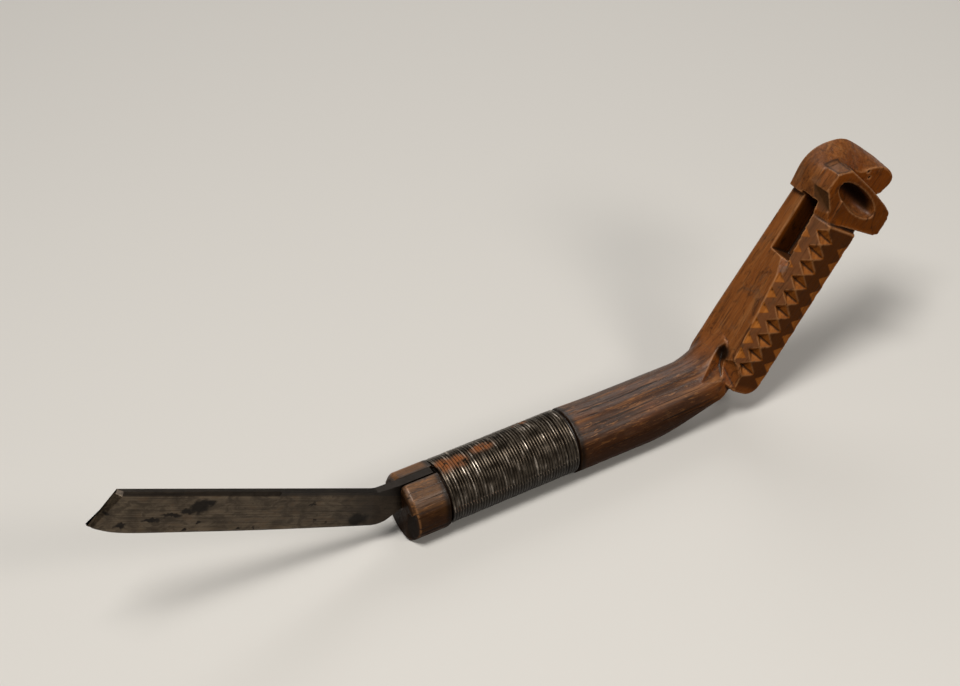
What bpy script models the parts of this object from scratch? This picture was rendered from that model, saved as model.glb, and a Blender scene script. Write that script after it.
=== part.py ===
"""Crooked knife: a one-piece carved wooden handle, a forged blade let into its shaft, and a wire binding."""

import math

import bmesh
import bpy
import numpy as np
from mathutils import Vector

for old in list(bpy.data.objects):
    bpy.data.objects.remove(old)

MM = 0.001

# Sizes are in millimetres. X runs along the shaft from blade to grip, Y across it, Z up from the table.
FIT = 0.3

# Shaft of the handle
SHAFT_RADIUS = 11.2
BELLY_DROP = 11.6
BELLY_ROUND = 12.4
SHAFT_NOSE = 13.4
NOSE_CHAMFER = 1.6
WAIST_DIP = 0.8
BEND_START = 27.0
BEND_OVER = 0.8
BEND_LIFT = 13.2
RING_POINTS = 32
BEND_STEPS = 8

# Binding
WRAP_LENGTH = 48.7
WRAP_LOOPS = 24
POINTS_EACH_LOOP = 24
WIRE_DIAMETER = 1.45
WRAP_RECESS = 0.1
WIRE_TAIL = 1.7
CURL_STEPS = 4

# Blade and tang
BLADE_LENGTH = 88.9
BLADE_WIDTH = 15.2
BLADE_RISE = math.radians(26.4)
SPINE_THICKNESS = 2.6
EDGE_THICKNESS = 0.5
POINT_REACH = 6.1
POINT_LIFT = 2.5
SKEW_SETBACK = 16.4
SKEW_STEPS = 3
HEEL_SETBACK = 4.7
HEEL_LIFT = 0.8
HEEL_NARROWING = 1.3
BLADE_BEND = 8.7
NECK_HOLLOW = 1.4
TANG_THICKNESS = 3.2
TANG_HEIGHT = 8.0
TANG_LENGTH = 46.0
TANG_STEP = 2.2
HOOK_LENGTH = 3.0
HOOK_DEPTH = 4.5
BLADE_STATIONS = (0.5, 0.0)
NECK_STATIONS = (0.25, 0.7, 1.0)

# Grip, a bar with carved sides that rises from the end of the shaft
GRIP_REACH = 56.9
GRIP_RISE = math.radians(54.0)
GRIP_LENGTH = 64.0
NECK_LENGTH = 4.0
NECK_SINK = 5.0
SHOULDER = 0.5
NECK_SET = 1.2
GRIP_DEPTH = 18.3
GRIP_WIDTH = 21.6
GRIP_TOP_WIDTH = 19.4
RIDGE_LOW = 7.6
RIDGE_TOP = 4.6
FAR_CHAMFER = 1.2
STEM_LOW_NEAR = 9.0
STEM_TOP_NEAR = 3.7
STEM_ROUND = 2.3
STEM_ROUND_LENGTH = 35.0
HEEL_DROP = 5.5
HEEL_ROUND = 5.0
HEEL_STEPS = 4
INNER_FILLET = 18.0

# Thumb mortise in the inner face of the grip
MORTISE_LENGTH = 22.2
MORTISE_WIDTH = 8.6
MORTISE_TOP_WIDTH = 6.4
MORTISE_DEPTH = 9.0
MORTISE_FAR = 2.9
MORTISE_SINK = 1.0

# Head: a long tongue on the far half and a shorter lobe with a hollow on the near half
HEAD_HEIGHT = 21.1
TONGUE_LENGTH = 34.8
TONGUE_NEAR = -0.5
TONGUE_CREST = 8.0
TONGUE_FAR = 9.5
FAR_BEVEL = 1.2
LOBE_LENGTH = 27.0
LOBE_NEAR = 11.0
HOLLOW_LENGTH = 19.5
HOLLOW_WIDTH = 8.0
HOLLOW_DEPTH = 5.5
HOLLOW_TILT = math.radians(-15.0)
HOLLOW_DROP = 14.2
HOLLOW_FRONT = 1.0

# Outline of the head along its near wall and along its crest, as shares of tongue length and head height
NEAR_OUTLINE = (
    (-0.03, 0.0), (-0.12, 0.38), (-0.08, 0.56), (0.06, 0.71), (0.23, 0.70), (0.41, 0.69), (0.50, 0.80),
    (0.60, 0.88), (0.73, 0.90), (0.84, 0.82), (0.87, 0.70), (0.84, 0.55), (0.80, 0.45), (0.52, 0.09),
    (0.34, 0.0),
)
CREST_OUTLINE = (
    (-0.10, 0.0), (-0.13, 0.42), (-0.06, 0.71), (0.10, 0.92), (0.24, 1.00), (0.43, 0.97), (0.56, 0.93),
    (0.72, 0.90), (0.83, 0.87), (0.95, 0.83), (1.00, 0.73), (0.97, 0.57), (0.90, 0.45), (0.52, 0.09),
    (0.34, 0.0),
)
TONGUE_MIDDLE = (0.4, 0.5)

# Corners of the lobe as shares of lobe length, near reach and head height
LOBE_FRONT = ((-0.10, 0.09, 0.555), (-0.06, -0.55, 0.578), (-0.07, -0.55, 0.294), (-0.11, 0.0, 0.265))
LOBE_TOP = (
    (0.07, 0.09, 0.716), (0.12, -0.57, 0.72), (0.30, 0.0, 0.687), (0.45, -0.73, 0.61), (0.66, -0.77, 0.53),
)
LOBE_END = (
    (0.88, -0.86, 0.427), (0.98, -0.91, 0.355), (1.0, -0.955, 0.237), (0.98, -1.0, -0.024), (0.88, 0.0, 0.33),
)
LOBE_BOTTOM = ((0.90, -1.0, -0.076), (0.63, -0.86, -0.095), (0.93, 0.0, 0.095), (0.67, 0.0, -0.095))
LOBE_NECK = ((0.01, -0.34), (0.15, -0.76))

# Places worked out from the sizes above
AXIS_Z = BELLY_DROP
WRAP_END = WRAP_LENGTH / 2
NOSE_X = -WRAP_END - SHAFT_NOSE
WIRE_RADIUS = SHAFT_RADIUS - WRAP_RECESS - WIRE_DIAMETER / 2
CORE_RADIUS = WIRE_RADIUS - WIRE_DIAMETER / 2 - FIT
GRIP_ALONG = Vector((math.cos(GRIP_RISE), 0, math.sin(GRIP_RISE)))
GRIP_OUT = Vector((math.sin(GRIP_RISE), 0, -math.cos(GRIP_RISE)))
CORNER = Vector((WRAP_END + GRIP_REACH, 0, AXIS_Z + SHAFT_RADIUS))
BAR_LENGTH = GRIP_LENGTH - NECK_LENGTH
BEND_X = WRAP_END + BEND_START
BEND_END = CORNER.x + BEND_OVER
TANG_END = NOSE_X + TANG_LENGTH
TANG_RAMP = -WRAP_END - FIT - TANG_STEP


def grip_point(out, across, along):
    """A point by its depth from the inner face, its place across the knife and its height up the grip."""
    return CORNER + GRIP_OUT * out + Vector((0, across, 0)) + GRIP_ALONG * along


def mesh_object(name, bm):
    bm.normal_update()
    bmesh.ops.recalc_face_normals(bm, faces=bm.faces)
    mesh = bpy.data.meshes.new(name)
    bm.to_mesh(mesh)
    bm.free()
    obj = bpy.data.objects.new(name, mesh)
    bpy.context.collection.objects.link(obj)
    return obj


def loft(name, rings):
    """A closed skin through rings of as many points each, with flat ends."""
    bm = bmesh.new()
    loops = [[bm.verts.new(Vector(p) * MM) for p in ring] for ring in rings]
    count = len(loops[0])
    for one, two in zip(loops, loops[1:]):
        for k in range(count):
            bm.faces.new((one[k], one[(k + 1) % count], two[(k + 1) % count], two[k]))
    bm.faces.new(loops[0])
    bm.faces.new(loops[-1])
    return mesh_object(name, bm)


def hull(name, points):
    bm = bmesh.new()
    verts = [bm.verts.new(Vector(p) * MM) for p in points]
    made = bmesh.ops.convex_hull(bm, input=verts)
    loose = [v for v in made["geom_interior"] if isinstance(v, bmesh.types.BMVert)]
    bmesh.ops.delete(bm, geom=loose, context="VERTS")
    return mesh_object(name, bm)


def boolean(body, other, operation):
    other.hide_render = True
    other.display_type = "WIRE"
    step = body.modifiers.new(other.name, "BOOLEAN")
    step.operation = operation
    step.solver = "EXACT"
    step.object = other


def material(obj, colour, roughness, metallic):
    skin = bpy.data.materials.new(obj.name)
    skin.use_nodes = True
    shader = skin.node_tree.nodes["Principled BSDF"]
    shader.inputs["Base Color"].default_value = (*colour, 1)
    shader.inputs["Roughness"].default_value = roughness
    shader.inputs["Metallic"].default_value = metallic
    obj.data.materials.append(skin)


def shaft_ring(x, top, drop, half, belly, square=0.0):
    """One section of the shaft: round above, deeper below, flat at the belly, squarer on the far side."""
    ring = []
    for k in range(RING_POINTS):
        turn = math.tau * k / RING_POINTS
        across, rise = math.cos(turn), math.sin(turn)
        if across > 0 and rise > 0:
            across, rise = across ** (1 - square), rise ** (1 - square)
        z = max(rise * (top if rise > 0 else drop), -belly)
        ring.append((x, half * across, AXIS_Z + z))
    return ring


def make_shaft():
    nose = SHAFT_RADIUS - NOSE_CHAMFER
    waist = SHAFT_RADIUS - WAIST_DIP
    whole = (SHAFT_RADIUS, BELLY_ROUND, SHAFT_RADIUS, BELLY_DROP)
    core = (CORE_RADIUS, CORE_RADIUS, CORE_RADIUS, CORE_RADIUS)
    rings = [
        shaft_ring(NOSE_X, nose, BELLY_ROUND - NOSE_CHAMFER, nose, BELLY_DROP - NOSE_CHAMFER / 2),
        shaft_ring(NOSE_X + NOSE_CHAMFER, *whole),
        shaft_ring(-WRAP_END, *whole),
        shaft_ring(-WRAP_END, *core),
        shaft_ring(WRAP_END, *core),
        shaft_ring(WRAP_END, *whole),
        shaft_ring(WRAP_END + BEND_START / 2, waist, BELLY_ROUND, SHAFT_RADIUS, BELLY_DROP),
        shaft_ring(BEND_X, waist, BELLY_ROUND, SHAFT_RADIUS, BELLY_DROP),
    ]
    fillet_start = CORNER.x - INNER_FILLET * math.tan(GRIP_RISE / 2)
    for k in range(1, BEND_STEPS + 1):
        share = k / BEND_STEPS
        x = BEND_X + (BEND_END - BEND_X) * share
        past = min(max(x - fillet_start, 0), INNER_FILLET * math.sin(GRIP_RISE))
        top = SHAFT_RADIUS - WAIST_DIP * (1 - share) + INNER_FILLET - math.sqrt(INNER_FILLET**2 - past**2)
        lift = BEND_LIFT * share**2
        half = SHAFT_RADIUS + (GRIP_WIDTH / 2 - FAR_CHAMFER / 2 - SHAFT_RADIUS) * share
        square = past / (INNER_FILLET * math.sin(GRIP_RISE))
        rings.append(shaft_ring(x, top, BELLY_ROUND - lift, half, BELLY_DROP - lift, square))
    return loft("handle", rings)


def grip_half(along):
    """Half the grip's width at this height."""
    return (GRIP_WIDTH + (GRIP_TOP_WIDTH - GRIP_WIDTH) * along / GRIP_LENGTH) / 2


def grip_ring(along, inset=0.0, near_set=0.0):
    """One section of the grip: a rectangle, chamfered a little on the far side and up to a ridge on the near."""
    half = grip_half(along)
    near = half - near_set
    climb = along / BAR_LENGTH
    stem = STEM_LOW_NEAR + (STEM_TOP_NEAR - STEM_LOW_NEAR) * climb
    ridge = (RIDGE_LOW + (RIDGE_TOP - RIDGE_LOW) * climb) / GRIP_DEPTH
    sunk = STEM_ROUND * max(1 - along / STEM_ROUND_LENGTH, 0)
    outline = [
        (inset, half - FAR_CHAMFER),
        (FAR_CHAMFER + inset, half),
        (GRIP_DEPTH - inset, half),
        (GRIP_DEPTH - inset, -near),
        (inset + (GRIP_DEPTH - 2 * inset) * ridge, -near),
        (sunk + inset, -min(stem, near - FIT)),
    ]
    return [grip_point(out, across, along) for out, across in outline]


def make_grip():
    rings = []
    for k in range(HEEL_STEPS):
        turn = math.pi / 2 * k / HEEL_STEPS
        along = HEEL_ROUND * (1 - math.cos(turn)) - HEEL_DROP
        rings.append(grip_ring(along, HEEL_ROUND * (1 - math.sin(turn))))
    rings.append(grip_ring(HEEL_ROUND - HEEL_DROP))
    rings.append(grip_ring(STEM_ROUND_LENGTH))
    rings.append(grip_ring(BAR_LENGTH))
    rings.append(grip_ring(BAR_LENGTH + FIT, near_set=NECK_SET))
    rings.append(grip_ring(GRIP_LENGTH + NECK_SINK, near_set=NECK_SET))
    return loft("grip", rings)


def make_tongue():
    """The far half of the head, a slab with a domed top whose outer end is round."""
    bevel = 1 - FAR_BEVEL / HEAD_HEIGHT * 2
    middle = Vector(TONGUE_MIDDLE)
    far_outline = [middle + (Vector(corner) - middle) * bevel for corner in CREST_OUTLINE]
    outlines = ((TONGUE_NEAR, NEAR_OUTLINE), (TONGUE_CREST, CREST_OUTLINE), (TONGUE_FAR, far_outline))
    rings = []
    for across, outline in outlines:
        ring = [grip_point(out * TONGUE_LENGTH, across, GRIP_LENGTH + up * HEAD_HEIGHT) for out, up in outline]
        rings.append(ring)
    return loft("tongue", rings)


def make_lobe():
    """The near half of the head: flat facets in front and on top, and a near face that slants past the grip."""
    points = []
    for out, across, up in LOBE_FRONT + LOBE_TOP + LOBE_END + LOBE_BOTTOM:
        points.append(grip_point(out * LOBE_LENGTH, across * LOBE_NEAR, GRIP_LENGTH + up * HEAD_HEIGHT))
    for out, across in LOBE_NECK:
        points.append(grip_point(out * LOBE_LENGTH, across * LOBE_NEAR, BAR_LENGTH + SHOULDER))
    return hull("lobe", points)


def make_hollow():
    """An oval scoop in the near face of the lobe."""
    bm = bmesh.new()
    bmesh.ops.create_icosphere(bm, subdivisions=3, radius=1)
    lean = LOBE_NEAR * (LOBE_FRONT[1][1] - LOBE_END[2][1]) / LOBE_LENGTH
    out_middle = HOLLOW_FRONT + HOLLOW_LENGTH / 2
    along_middle = GRIP_LENGTH + HEAD_HEIGHT - HOLLOW_DROP
    face = LOBE_NEAR * LOBE_FRONT[1][1]
    for v in bm.verts:
        long, wide = v.co.x * HOLLOW_LENGTH / 2, v.co.y * HOLLOW_WIDTH / 2
        out = out_middle + long * math.cos(HOLLOW_TILT) - wide * math.sin(HOLLOW_TILT)
        along = along_middle + long * math.sin(HOLLOW_TILT) + wide * math.cos(HOLLOW_TILT)
        v.co = grip_point(out, face - lean * out + v.co.z * HOLLOW_DEPTH, along) * MM
    return mesh_object("hollow", bm)


def make_mortise():
    """A slot in the inner face, narrower toward the head, which roofs it."""
    points = []
    top = GRIP_LENGTH + MORTISE_SINK
    for along, width in ((top - MORTISE_LENGTH, MORTISE_WIDTH), (top, MORTISE_TOP_WIDTH)):
        for across in (MORTISE_FAR, MORTISE_FAR - width):
            points += [grip_point(-MORTISE_DEPTH, across, along), grip_point(MORTISE_DEPTH, across, along)]
    return hull("mortise", points)


def tang_top(x):
    """Height of the tang: level with the shaft at the nose, then just under the binding."""
    under = AXIS_Z + math.sqrt(CORE_RADIUS**2 - (TANG_THICKNESS / 2 + FIT) ** 2) - FIT / 2
    level = AXIS_Z + SHAFT_RADIUS - FIT
    ramp = min(max((x - TANG_RAMP) / TANG_STEP, 0), 1)
    return level + (under - level) * ramp


TANG_BOTTOM = tang_top(0) - TANG_HEIGHT


def make_slot(name, start, end, bottom):
    half = TANG_THICKNESS / 2 + FIT
    top = AXIS_Z + 2 * SHAFT_RADIUS
    return hull(name, [(x, y, z) for x in (start, end) for y in (-half, half) for z in (bottom, top)])


def make_blade():
    """Sections along the blade, each a spine point over an edge point, from the skewed end to the hook."""
    along = Vector((-math.cos(BLADE_RISE), 0, math.sin(BLADE_RISE)))
    down = Vector((-math.sin(BLADE_RISE), 0, -math.cos(BLADE_RISE)))
    heel = Vector((NOSE_X - BLADE_BEND, 0, AXIS_Z + SHAFT_RADIUS + HEEL_LIFT))
    spine, edge, tang = SPINE_THICKNESS / 2, EDGE_THICKNESS / 2, TANG_THICKNESS / 2
    sections = []
    for k in range(SKEW_STEPS + 1):
        share = k / SKEW_STEPS
        top = heel + along * (BLADE_LENGTH - SKEW_SETBACK * share / 2)
        width = BLADE_WIDTH - POINT_LIFT * (1 - share) ** 2
        low = heel + along * (BLADE_LENGTH + POINT_REACH - SKEW_SETBACK * share) + down * width
        sections.append((top, spine, low, edge))
    for share in BLADE_STATIONS:
        top = heel + along * BLADE_LENGTH * share
        low = top - along * HEEL_SETBACK + down * (BLADE_WIDTH - HEEL_NARROWING * (1 - 2 * share))
        sections.append((top, spine, low, edge))
    heel_low = sections[-1][2].z
    for share in NECK_STATIONS:
        x = heel.x + BLADE_BEND * share
        top = Vector((x, 0, heel.z + (tang_top(x) - heel.z) * share))
        low = Vector((x, 0, heel_low + (TANG_BOTTOM - heel_low) * share**NECK_HOLLOW))
        sections.append((top, tang, low, edge + (tang - edge) * share))
    for x in (NOSE_X + NOSE_CHAMFER, TANG_RAMP, TANG_RAMP + TANG_STEP, TANG_END - HOOK_LENGTH):
        sections.append((Vector((x, 0, tang_top(x))), tang, Vector((x, 0, TANG_BOTTOM)), tang))
    for x in (TANG_END - HOOK_LENGTH + FIT, TANG_END):
        sections.append((Vector((x, 0, tang_top(x))), tang, Vector((x, 0, TANG_BOTTOM - HOOK_DEPTH)), tang))
    rings = []
    for top, half, low, thin in sections:
        near, far = Vector((0, -half, 0)), Vector((0, half, 0))
        rings.append([top + near, top + far, low + far * (thin / half), low + near * (thin / half)])
    return loft("blade", rings)


def wire_point(x, turn, radius):
    return Vector((x, radius * math.cos(turn), AXIS_Z + radius * math.sin(turn)))


def wire_path():
    """One unbroken helix, with each end turned in square to the core."""
    first = -WRAP_END + WIRE_DIAMETER / 2 + FIT
    curl = WIRE_DIAMETER
    bend = curl / WIRE_RADIUS
    sweep = math.tau * WRAP_LOOPS
    tail = [(0.0, WIRE_RADIUS - curl - WIRE_TAIL)]
    for k in range(CURL_STEPS):
        angle = math.pi / 2 * k / CURL_STEPS
        tail.append((bend * (1 - math.cos(angle)), WIRE_RADIUS - curl + curl * math.sin(angle)))
    path = [wire_point(first, turn, radius) for turn, radius in tail]
    for loop in range(WRAP_LOOPS):
        for k in range(POINTS_EACH_LOOP):
            share = (loop + k / POINTS_EACH_LOOP) / WRAP_LOOPS
            path.append(wire_point(first * (1 - 2 * share), bend + (sweep - 2 * bend) * share, WIRE_RADIUS))
    path.append(wire_point(-first, sweep - bend, WIRE_RADIUS))
    path += [wire_point(-first, sweep - turn, radius) for turn, radius in reversed(tail)]
    return path


def make_binding():
    path = wire_path()
    curve = bpy.data.curves.new("binding_wire", "CURVE")
    curve.dimensions = "3D"
    curve.bevel_depth = WIRE_DIAMETER / 2 * MM
    curve.bevel_resolution = 1
    curve.use_fill_caps = True
    line = curve.splines.new("POLY")
    line.points.add(len(path) - 1)
    for point, place in zip(line.points, path):
        point.co = (*(place * MM), 1)
    obj = bpy.data.objects.new("binding_wire", curve)
    bpy.context.collection.objects.link(obj)
    spots = np.array(path)
    apart = POINTS_EACH_LOOP // 2
    gaps = [np.linalg.norm(spots[k + apart:] - spots[k], axis=1).min() for k in range(len(spots) - apart)]
    print(f"binding_wire least gap to itself {min(gaps) - WIRE_DIAMETER:.3f} mm")
    return obj


def make_wire_hole(name, x):
    """A blind hole on the far side of the core for one end of the wire."""
    radius = WIRE_DIAMETER / 2 + FIT
    bottom = WIRE_RADIUS - WIRE_DIAMETER - WIRE_TAIL - FIT
    turns = [math.tau * k / RING_POINTS for k in range(RING_POINTS)]
    rings = []
    for y in (bottom, SHAFT_RADIUS - FIT):
        rings.append([(x + radius * math.cos(turn), y, AXIS_Z + radius * math.sin(turn)) for turn in turns])
    return loft(name, rings)


def make_handle():
    handle = make_shaft()
    for piece in (make_grip(), make_tongue(), make_lobe()):
        boolean(handle, piece, "UNION")
    hook_start = TANG_END - HOOK_LENGTH - FIT
    seat = WRAP_END - WIRE_DIAMETER / 2 - FIT
    cuts = (
        make_slot("tang_slot", NOSE_X - SHAFT_NOSE, TANG_END + FIT, TANG_BOTTOM - FIT),
        make_slot("hook_slot", hook_start, TANG_END + FIT, TANG_BOTTOM - HOOK_DEPTH - FIT),
        make_mortise(),
        make_hollow(),
        make_wire_hole("wire_hole_front", -seat),
        make_wire_hole("wire_hole_back", seat),
    )
    for cut in cuts:
        boolean(handle, cut, "DIFFERENCE")
    return handle


def centre_on_table(nodes):
    """Moves everything so that the middle of the whole knife's box stands over the origin, on Z = 0."""
    bpy.context.view_layer.update()
    graph = bpy.context.evaluated_depsgraph_get()
    low, high = np.full(3, np.inf), np.full(3, -np.inf)
    for obj in nodes:
        mesh = obj.evaluated_get(graph).to_mesh()
        spots = np.empty(len(mesh.vertices) * 3)
        mesh.vertices.foreach_get("co", spots)
        spots = spots.reshape(-1, 3)
        low, high = np.minimum(low, spots.min(axis=0)), np.maximum(high, spots.max(axis=0))
        obj.evaluated_get(graph).to_mesh_clear()
    shift = Vector((-(low[0] + high[0]) / 2, -(low[1] + high[1]) / 2, -low[2]))
    for obj in bpy.data.objects:
        obj.location = shift
    print("overall size in mm", [round(float(v) / MM, 1) for v in high - low])
    print("shift in mm", [round(float(v) / MM, 3) for v in shift])


handle = make_handle()
blade = make_blade()
binding = make_binding()
material(handle, (0.22, 0.10, 0.04), 0.45, 0.0)
material(blade, (0.24, 0.19, 0.14), 0.45, 0.9)
material(binding, (0.12, 0.115, 0.11), 0.5, 0.9)
centre_on_table((handle, blade, binding))
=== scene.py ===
import math

import bmesh
import bpy
import numpy as np
from mathutils import Matrix, Vector


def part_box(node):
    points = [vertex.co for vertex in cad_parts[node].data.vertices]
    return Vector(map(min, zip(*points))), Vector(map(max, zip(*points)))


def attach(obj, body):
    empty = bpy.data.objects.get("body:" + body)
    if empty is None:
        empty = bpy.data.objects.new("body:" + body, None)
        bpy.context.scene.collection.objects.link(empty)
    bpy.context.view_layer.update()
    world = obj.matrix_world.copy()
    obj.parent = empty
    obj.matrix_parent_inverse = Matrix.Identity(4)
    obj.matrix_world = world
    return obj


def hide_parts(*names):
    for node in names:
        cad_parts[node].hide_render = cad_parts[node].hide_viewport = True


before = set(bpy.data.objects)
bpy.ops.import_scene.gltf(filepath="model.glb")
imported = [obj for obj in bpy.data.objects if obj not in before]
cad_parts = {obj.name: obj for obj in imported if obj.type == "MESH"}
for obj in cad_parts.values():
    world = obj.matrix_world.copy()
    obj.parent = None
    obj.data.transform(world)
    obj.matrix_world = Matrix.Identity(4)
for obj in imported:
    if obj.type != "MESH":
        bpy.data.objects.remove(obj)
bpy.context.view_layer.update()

mm = 0.001
rng = np.random.default_rng(11)

# everything hangs from the middle of the binding, which the frame gives
wireLow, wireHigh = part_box("binding_wire")
wrapMid = (wireLow + wireHigh) / 2
axisZ = wrapMid.z / mm  # height of the shaft's axis over the table, in mm

shaft = {
    "radius": 11.2,
    "bellyDrop": 11.6,
    "bellyRound": 12.4,
    "noseX": -37.75,
    "noseChamfer": 1.6,
    "wrapEnd": 24.35,
    "coreRadius": 9.9,
    "waistDip": 0.8,
    "bendStart": 51.35,
    "bendOver": 0.8,
    "bendLift": 13.2,
    "facets": 11,  # knife planes round the shaft
    "facetSharpness": 42,
    "facetShake": 0.16,
    "facetReach": (0.955, 0.985),
    "facetDrift": 0.0022,  # the planes wind a little along the shaft
    "facetTwist": 2.1,
    "ringPoints": 96,
    "noseRings": 4,
    "waistRings": 6,
    "bendRings": 22,
    "bendCarved": 0.5,  # how much of the planes is left at the bend
    "rootFall": 0.02,  # past the bend the shaft dives under the grip's own skin
    "rootShrink": 0.6,
    "farSquare": 0.65,  # how far its far corner fills out to the grip's
}

grip = {
    "reach": 56.9,
    "rise": math.radians(54.0),
    "length": 64.0,  # to the underside of the head
    "barLength": 60.0,  # to the shoulder under the neck
    "neckSet": 1.2,
    "depth": 18.3,
    "width": 21.6,
    "topWidth": 19.4,
    "farChamfer": 1.2,
    "stemLow": 9.0,
    "stemTop": 3.7,
    "stemRound": 2.3,
    "stemRoundLength": 35.0,
    "ridge": 7.3,
    "ridgeTop": 4.6,
    "ridgeTurn": 28.0,
    "heelDrop": 5.5,
    "heelRound": 5.0,
    "innerFillet": 18.0,
    "stemInset": 0.3,
    "neckStep": 0.3,
    "headRoot": 5.0,
    "heelRings": 8,
    "rings": 14,
}

corner = Vector((shaft["wrapEnd"] + grip["reach"], 0, axisZ + shaft["radius"]))
gripAlong = Vector((math.cos(grip["rise"]), 0, math.sin(grip["rise"])))
gripOut = Vector((math.sin(grip["rise"]), 0, -math.cos(grip["rise"])))
filletStart = corner.x - grip["innerFillet"] * math.tan(grip["rise"] / 2)


def toWorld(p):  # local mm, table at z 0, to metres in the frame
    return Vector((p[0] * mm + wrapMid.x, p[1] * mm + wrapMid.y, p[2] * mm))


def onGrip(out, across, along):  # depth from the inner face, place across, height up the grip
    return corner + gripOut * out + Vector((0, across, 0)) + gripAlong * along


def meshObject(name, bm):
    bm.normal_update()
    bmesh.ops.recalc_face_normals(bm, faces=bm.faces)
    mesh = bpy.data.meshes.new(name)
    bm.to_mesh(mesh)
    bm.free()
    obj = bpy.data.objects.new(name, mesh)
    bpy.context.scene.collection.objects.link(obj)
    return obj


def skinRings(name, rings):
    bm = bmesh.new()
    loops = [[bm.verts.new(toWorld(p)) for p in ring] for ring in rings]
    count = len(loops[0])
    for one, two in zip(loops, loops[1:]):
        for k in range(count):
            bm.faces.new((one[k], one[(k + 1) % count], two[(k + 1) % count], two[k]))
    bm.faces.new(loops[0])
    bm.faces.new(loops[-1])
    return meshObject(name, bm)


def hullObject(name, *groups):
    bm = bmesh.new()
    for points in groups:
        verts = [bm.verts.new(toWorld(p)) for p in points]
        made = bmesh.ops.convex_hull(bm, input=verts)
        loose = [v for v in made["geom_interior"] if isinstance(v, bmesh.types.BMVert)]
        bmesh.ops.delete(bm, geom=loose, context="VERTS")
    return meshObject(name, bm)


def gripHull(name, *groups):  # corners given as out, across, along
    return hullObject(name, *[[onGrip(*p) for p in points] for points in groups])


def freeze(obj):  # the modifiers become the mesh
    bpy.context.view_layer.update()
    graph = bpy.context.evaluated_depsgraph_get()
    mesh = bpy.data.meshes.new_from_object(obj.evaluated_get(graph))
    obj.modifiers.clear()
    obj.data = mesh


def combine(body, other, operation, selfCut=False):
    step = body.modifiers.new(other.name, "BOOLEAN")
    step.operation = operation
    step.solver = "EXACT"
    step.use_self = selfCut
    step.object = other
    freeze(body)
    bpy.data.objects.remove(other)


def smoothThrough(points, count):  # a soft line through a few points
    points = np.array(points, float)
    ends = np.vstack([2 * points[0] - points[1], points, 2 * points[-1] - points[-2]])
    place = np.linspace(0, len(points) - 1, count)
    k = np.minimum(place.astype(int), len(points) - 2)
    t = (place - k)[:, None]
    a, b, c, d = ends[k], ends[k + 1], ends[k + 2], ends[k + 3]
    return (2 * b + (c - a) * t + (2 * a - 5 * b + 4 * c - d) * t**2 + (3 * b - a - 3 * c + d) * t**3) / 2


def localSpots(obj):  # vertices as local mm
    spots = np.empty(len(obj.data.vertices) * 3)
    obj.data.vertices.foreach_get("co", spots)
    spots = spots.reshape(-1, 3) - np.array([wrapMid.x, wrapMid.y, 0])
    return spots / mm


def paint(obj, name, values):  # one number for each vertex, for the materials
    layer = obj.data.attributes.new(name, "FLOAT", "POINT")
    layer.data.foreach_set("value", np.ascontiguousarray(values, dtype=np.float32))


def paintVector(obj, name, values):
    layer = obj.data.attributes.new(name, "FLOAT_VECTOR", "POINT")
    layer.data.foreach_set("vector", np.ascontiguousarray(values, dtype=np.float32).ravel())


def ramp01(x, low, high):
    t = np.clip((x - low) / (high - low), 0, 1)
    return t * t * (3 - 2 * t)


# the wooden handle, carved from one piece

facetTurn = rng.uniform(-shaft["facetShake"], shaft["facetShake"], shaft["facets"])
facetDepth = rng.uniform(*shaft["facetReach"], shaft["facets"])


def facetRadius(turn, x):  # a round section whittled into long planes
    sharp = shaft["facetSharpness"]
    total = 0.0
    for k in range(shaft["facets"]):
        drift = shaft["facetDrift"] * x * math.sin(shaft["facetTwist"] * k)
        middle = math.tau * k / shaft["facets"] + facetTurn[k] + drift
        near = max(math.cos(turn - middle), 0.0)
        total += (near / facetDepth[k]) ** sharp
    return min(total ** (-1 / sharp), 1.0)


def shaftRing(x, top, drop, half, belly, square=0.0, carved=1.0):
    ring = []
    start = math.asin(max(-belly / top, 0))  # in the bend the flat underside rises over the axis
    for k in range(shaft["ringPoints"]):
        turn = math.tau * k / shaft["ringPoints"]
        if start and turn > math.pi:
            ring.append((x, half * math.cos(start) * (2 * turn / math.pi - 3), axisZ - belly))
            continue
        if start:
            turn = start + (math.pi - 2 * start) * turn / math.pi
        across, up = math.cos(turn), math.sin(turn)
        if across > 0 and up > 0:
            across, up = across ** (1 - square), up ** (1 - square)
        cut = 1 + (facetRadius(turn, x) - 1) * carved
        z = max(up * (top if up > 0 else drop) * cut, -belly)
        ring.append((x, half * across * cut, axisZ + z))
    return ring


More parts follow.
